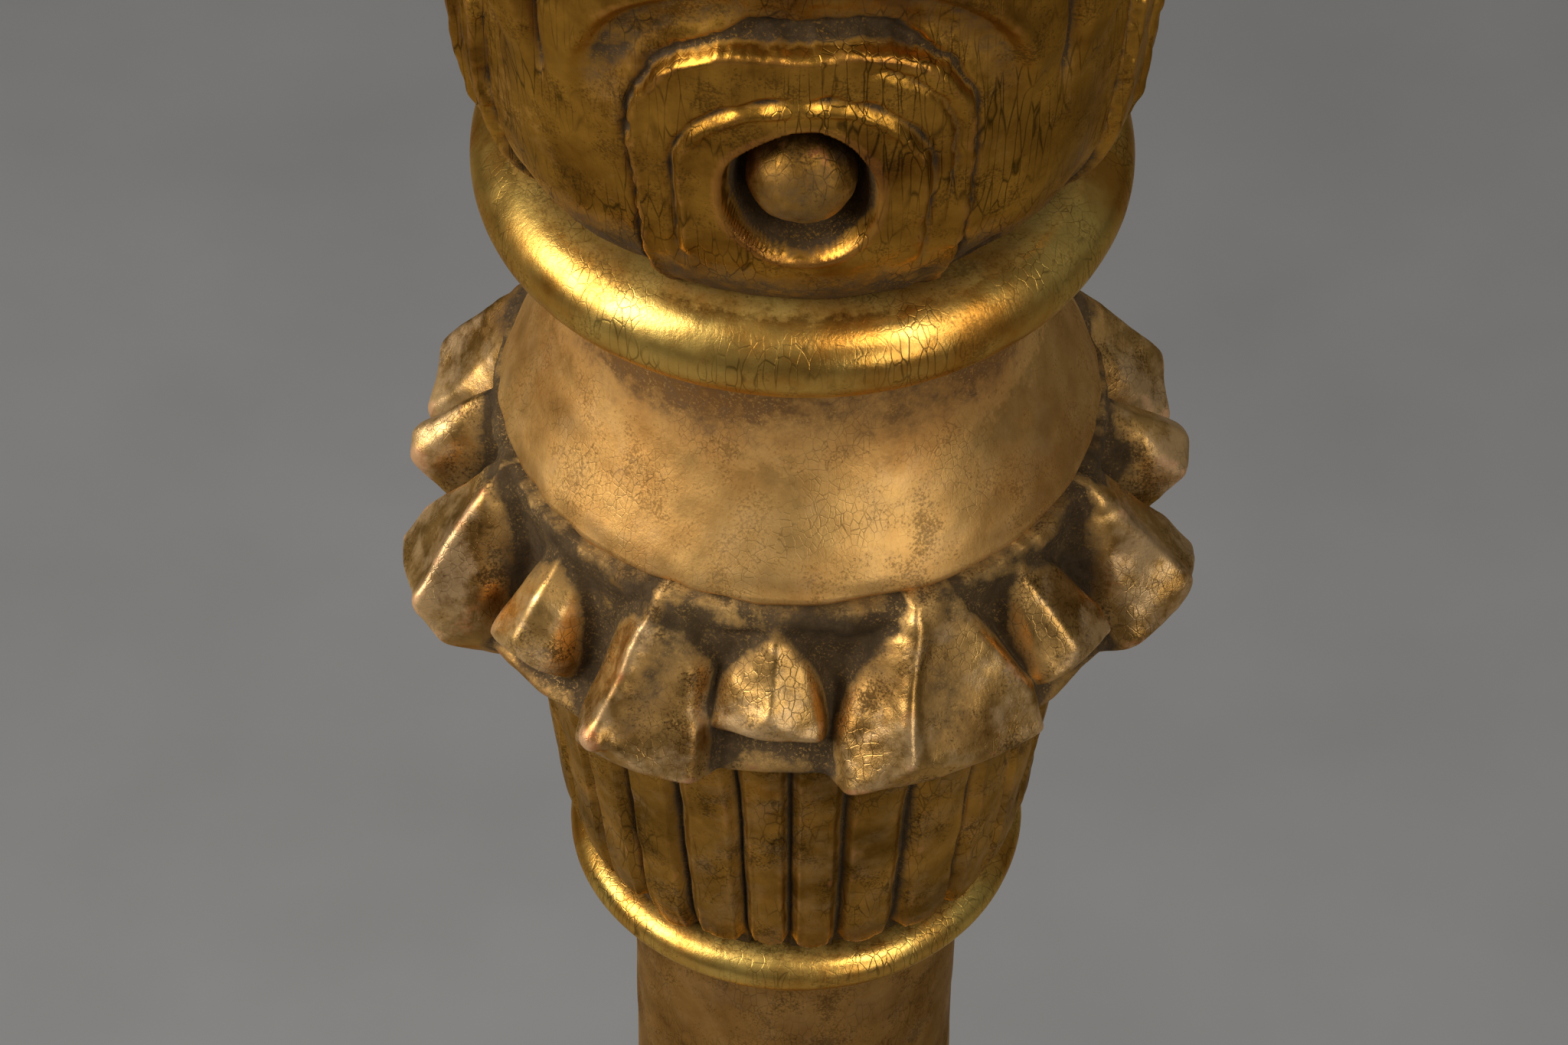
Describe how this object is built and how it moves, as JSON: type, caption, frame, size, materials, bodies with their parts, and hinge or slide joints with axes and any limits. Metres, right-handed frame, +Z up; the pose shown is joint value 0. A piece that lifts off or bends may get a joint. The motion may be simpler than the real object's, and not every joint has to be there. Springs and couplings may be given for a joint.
{
  "type": "torchere candle stand",
  "caption": "Carved and gilded wooden floor candle stand: ribbed round base on scroll feet, leaf ruff, eyed bulb, dish and iron pricket with a loose drip pan.",
  "frame": {"origin": "on the floor under the stem's axis, midway between the four feet", "axes": "+Z up along the stem, -Y towards the front, where an eye of the bulb faces the viewer, +X to the viewer's right"},
  "size_m": [0.316, 0.316, 1.428],
  "materials": {
    "bright_gold": "water gilding burnished over red bole and gesso, on turned wood",
    "aged_gold": "worn matt gilding with dirt in the carving, on carved wood",
    "bronze_paint": "bronze-gold paint over old gilding, satin",
    "bare_wood": "plain dowel",
    "iron": "forged, dark",
    "gilt_sheet": "gilded sheet iron, rubbed"
  },
  "bodies": {
    "stand": {"foot_front_right": "aged_gold", "foot_dowel_front_right": "bare_wood", "foot_screw_front_right": "iron", "foot_back_right": "aged_gold", "foot_dowel_back_right": "bare_wood", "foot_screw_back_right": "iron", "foot_back_left": "aged_gold", "foot_dowel_back_left": "bare_wood", "foot_screw_back_left": "iron", "foot_front_left": "aged_gold", "foot_dowel_front_left": "bare_wood", "foot_screw_front_left": "iron", "plinth_board": "aged_gold", "base_bell": "aged_gold", "lower_knop": "aged_gold", "fluted_cup": "aged_gold", "leaf_ruff": "aged_gold", "capital_cup": "aged_gold", "base_torus": "bright_gold", "base_ring": "bright_gold", "knop_ring": "bright_gold", "column_ring": "bright_gold", "torus_ring": "bright_gold", "eye_bulb": "bright_gold", "shoulder_ring": "bright_gold", "neck_ring": "bright_gold", "top_dish": "bright_gold", "column": "bronze_paint", "scotia_collar": "bronze_paint", "neck": "bronze_paint", "eye_boss_front": "aged_gold", "eye_boss_right": "aged_gold", "eye_boss_back": "aged_gold", "eye_boss_left": "aged_gold", "tie_rod": "iron", "base_washer": "iron", "tie_nut": "iron"},
    "drip_pan": {"drip_pan": "gilt_sheet"}
  },
  "joints": [
    {"name": "pan_lift", "type": "slide", "parent": "stand", "child": "drip_pan", "axis": [0, 0, 1], "range_m": [0, 0.1]}
  ]
}
